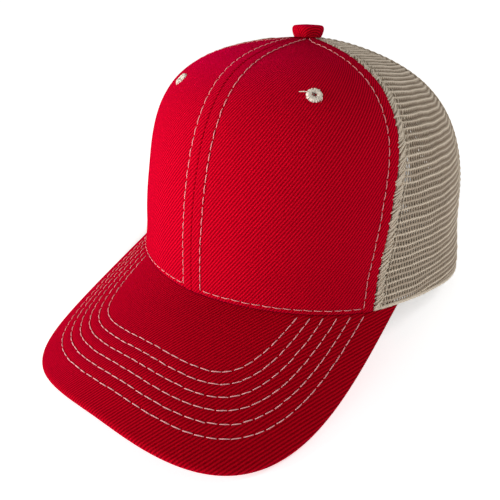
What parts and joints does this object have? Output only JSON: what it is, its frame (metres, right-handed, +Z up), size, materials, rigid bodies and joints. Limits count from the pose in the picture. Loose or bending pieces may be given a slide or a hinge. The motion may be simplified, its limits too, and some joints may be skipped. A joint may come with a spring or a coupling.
{
  "type": "trucker cap",
  "caption": "Six-panel cap with a stiff twill front, open mesh sides and back, a curved stitched visor, a covered top button and an adjustable snap strap.",
  "frame": {"origin": "on the table, under the middle of the cap's bounding box, with the cap resting on the visor's two low edges and the back of its rim", "axes": "+Z up from the table, -Y towards the visor's front edge, +X towards the wearer's left; the crown's own axis leans 6.55 degrees back from +Z towards +Y"},
  "size_m": [0.1764, 0.2608, 0.1302],
  "materials": {
    "twill": "red polyester twill with diagonal wales",
    "mesh": "cream knitted polyester mesh with ridges and open slits",
    "tape": "plain woven cotton tape",
    "buckram": "stiffened open-weave cotton",
    "sweatband": "soft woven cotton band",
    "thread": "glossy polyester embroidery thread",
    "board": "flat moulded polyethylene",
    "strap": "soft moulded polyethylene with a fine grain",
    "steel": "pressed tinned steel"
  },
  "bodies": {
    "cap": {"front_panel_left": "twill", "front_panel_right": "twill", "front_buckram_left": "buckram", "front_buckram_right": "buckram", "side_mesh_left": "mesh", "side_mesh_right": "mesh", "back_mesh_left": "mesh", "back_mesh_right": "mesh", "side_seam_tape_left": "tape", "side_seam_tape_right": "tape", "rear_seam_tape_left": "tape", "rear_seam_tape_right": "tape", "center_seam_tape": "tape", "back_seam_tape": "tape", "opening_binding": "tape", "sweatband": "sweatband", "eyelet_left": "thread", "eyelet_right": "thread", "visor_board": "board", "visor_cover_top": "twill", "visor_cover_bottom": "twill", "button_cover": "twill", "button_core": "steel", "button_rivet": "steel", "hole_strap_tab": "strap", "peg_strap_tab": "strap"},
    "strap_with_holes": {"hole_strap": "strap"},
    "strap_with_pegs": {"peg_strap": "strap"}
  },
  "joints": [
    {"name": "hole_strap_bend", "type": "hinge", "parent": "cap", "child": "strap_with_holes", "pos_m": [0.03915, 0.11722, 0.01187], "axis": [0, -0.1141, -0.9935], "range_deg": [0, 80]},
    {"name": "peg_strap_bend", "type": "hinge", "parent": "cap", "child": "strap_with_pegs", "pos_m": [-0.03844, 0.11591, 0.01201], "axis": [0, -0.1141, -0.9935], "range_deg": [0, 60]}
  ]
}
